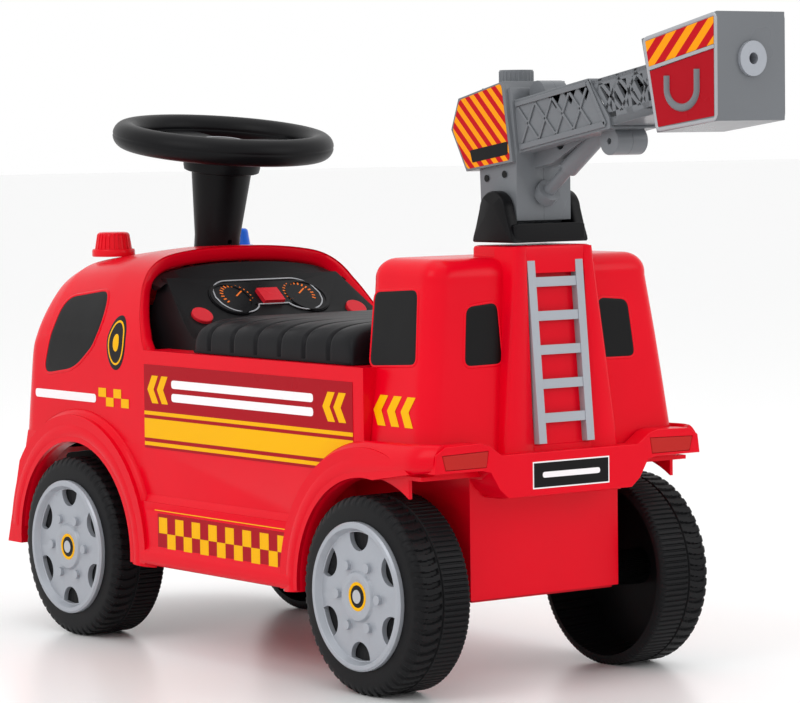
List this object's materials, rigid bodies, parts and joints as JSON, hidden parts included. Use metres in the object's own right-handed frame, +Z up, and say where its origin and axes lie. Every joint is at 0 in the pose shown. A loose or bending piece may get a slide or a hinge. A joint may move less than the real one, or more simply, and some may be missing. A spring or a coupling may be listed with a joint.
{
  "type": "ride-on fire engine",
  "caption": "Foot-to-floor ride-on fire engine for a small child, with steered front wheels, a lift-up seat lid over a storage bin, and a swivelling crane boom with a bucket.",
  "frame": {"origin": "on the ground, under the middle of the overall length and width", "axes": "+X to the rider's left, -Y forwards (nose), +Y backwards (bucket), +Z up"},
  "size_m": [0.284, 0.8348, 0.4877],
  "materials": {
    "red_plastic": "moulded red polypropylene, satin gloss",
    "tray_plastic": "darker red moulded plastic",
    "black_plastic": "fine-grained black plastic",
    "window_plastic": "gloss black plastic",
    "grey_plastic": "mid grey moulded plastic",
    "silver_plastic": "silver-grey moulded plastic",
    "tyre_plastic": "black blow-moulded plastic tread",
    "steel": "zinc-plated steel rod",
    "lens_clear": "pressed clear lens",
    "lens_red": "red lens",
    "beacon_red_plastic": "translucent red plastic",
    "beacon_blue_plastic": "translucent blue plastic",
    "gauge_print": "printed dial panel",
    "button_red": "gloss red button plastic"
  },
  "bodies": {
    "chassis": {"body_shell": "red_plastic", "cab": "red_plastic", "rear_cabin": "red_plastic", "rear_bumper": "red_plastic", "chassis_tray": "tray_plastic", "windscreen": "window_plastic", "cab_windows": "window_plastic", "cabin_windows": "window_plastic", "grille": "black_plastic", "headlights": "lens_clear", "tail_lights": "lens_red", "ladder": "silver_plastic", "beacon_red": "beacon_red_plastic", "beacon_blue": "beacon_blue_plastic", "dashboard": "black_plastic", "gauge_panel": "gauge_print", "sound_box": "black_plastic", "speaker": "black_plastic", "battery_door": "black_plastic", "storage_bin": "black_plastic", "rear_axle": "steel", "rear_nuts": "steel", "rear_spacers": "black_plastic", "front_beam": "black_plastic", "nose_bracket": "black_plastic", "column_bush": "black_plastic", "seat_hinge_rod": "steel"},
    "rear_wheel_left": {"tyre_rear_left": "tyre_plastic", "cover_rear_left": "silver_plastic"},
    "rear_wheel_right": {"tyre_rear_right": "tyre_plastic", "cover_rear_right": "silver_plastic"},
    "knuckle_left": {"stub_axle_left": "steel", "steering_arm_left": "black_plastic"},
    "knuckle_right": {"stub_axle_right": "steel", "steering_arm_right": "black_plastic"},
    "front_wheel_left": {"tyre_front_left": "tyre_plastic", "cover_front_left": "silver_plastic"},
    "front_wheel_right": {"tyre_front_right": "tyre_plastic", "cover_front_right": "silver_plastic"},
    "steering": {"steering_wheel": "black_plastic", "horn_pad": "black_plastic", "steering_column": "black_plastic", "steering_shaft": "steel"},
    "tie_link": {"tie_bar": "black_plastic"},
    "seat_lid": {"seat": "black_plastic"},
    "turret": {"turret_dome": "black_plastic", "turret_ring": "black_plastic", "lift_pin": "steel"},
    "crane": {"crane_half_left": "grey_plastic", "crane_half_right": "grey_plastic", "strut": "grey_plastic", "boom_inner": "grey_plastic", "bucket": "grey_plastic", "nozzle": "silver_plastic"},
    "cap": {"filler_cap": "grey_plastic"},
    "rocker": {"rocker_switch": "button_red"},
    "horn_left": {"horn_button_left": "button_red"},
    "horn_right": {"horn_button_right": "button_red"},
    "round_left": {"round_button_left": "button_red"},
    "round_right": {"round_button_right": "button_red"}
  },
  "joints": [
    {"name": "steering_turn", "type": "hinge", "parent": "chassis", "child": "steering", "pos_m": [0, -0.24536, 0.312], "axis": [0, 0.1392, 0.9903], "range_deg": [-30, 30]},
    {"name": "kingpin_left", "type": "hinge", "parent": "chassis", "child": "knuckle_left", "pos_m": [0.08, -0.26236, 0.073], "axis": [0, 0.1392, 0.9903], "range_deg": [-30, 30]},
    {"name": "kingpin_right", "type": "hinge", "parent": "chassis", "child": "knuckle_right", "pos_m": [-0.08, -0.26236, 0.073], "axis": [0, 0.1392, 0.9903], "range_deg": [-30, 30]},
    {"name": "tie_pivot", "type": "hinge", "parent": "knuckle_left", "child": "tie_link", "pos_m": [0.08, -0.28983, 0.15058], "axis": [0, 0.1392, 0.9903], "range_deg": [-30, 30]},
    {"name": "front_left_spin", "type": "hinge", "parent": "knuckle_left", "child": "front_wheel_left", "pos_m": [0.116, -0.26236, 0.073], "axis": [1, 0, 0], "continuous": true},
    {"name": "front_right_spin", "type": "hinge", "parent": "knuckle_right", "child": "front_wheel_right", "pos_m": [-0.116, -0.26236, 0.073], "axis": [1, 0, 0], "continuous": true},
    {"name": "rear_left_spin", "type": "hinge", "parent": "chassis", "child": "rear_wheel_left", "pos_m": [0.116, 0.14264, 0.073], "axis": [1, 0, 0], "continuous": true},
    {"name": "rear_right_spin", "type": "hinge", "parent": "chassis", "child": "rear_wheel_right", "pos_m": [-0.116, 0.14264, 0.073], "axis": [1, 0, 0], "continuous": true},
    {"name": "seat_hinge", "type": "hinge", "parent": "chassis", "child": "seat_lid", "pos_m": [0, -0.10936, 0.2448], "axis": [1, 0, 0], "range_deg": [0, 80]},
    {"name": "turret_swivel", "type": "hinge", "parent": "chassis", "child": "turret", "pos_m": [0, 0.17364, 0.326], "axis": [0, 0, 1], "continuous": true},
    {"name": "crane_lift", "type": "hinge", "parent": "turret", "child": "crane", "pos_m": [0, 0.17364, 0.347], "axis": [1, 0, 0], "range_deg": [-10, 20]},
    {"name": "cap_turn", "type": "hinge", "parent": "crane", "child": "cap", "pos_m": [0, 0.15894, 0.44], "axis": [0, 0, 1], "range_deg": [0, 90]},
    {"name": "rocker_tip", "type": "hinge", "parent": "chassis", "child": "rocker", "pos_m": [0, -0.17115, 0.27117], "axis": [1, 0, 0], "range_deg": [-4, 4]},
    {"name": "horn_left_press", "type": "slide", "parent": "chassis", "child": "horn_left", "axis": [0, -0.6064, -0.7951], "range_m": [0, 0.002], "stiffness_N_per_m": 400},
    {"name": "horn_right_press", "type": "slide", "parent": "chassis", "child": "horn_right", "axis": [0, -0.6064, -0.7951], "range_m": [0, 0.002], "stiffness_N_per_m": 400},
    {"name": "round_left_press", "type": "slide", "parent": "chassis", "child": "round_left", "axis": [0, -0.6064, -0.7951], "range_m": [0, 0.002], "stiffness_N_per_m": 400},
    {"name": "round_right_press", "type": "slide", "parent": "chassis", "child": "round_right", "axis": [0, -0.6064, -0.7951], "range_m": [0, 0.002], "stiffness_N_per_m": 400}
  ],
  "couplings": [
    {"joint": "kingpin_left", "follows": "steering_turn", "ratio": 1},
    {"joint": "kingpin_right", "follows": "steering_turn", "ratio": 1},
    {"joint": "tie_pivot", "follows": "steering_turn", "ratio": -1}
  ]
}
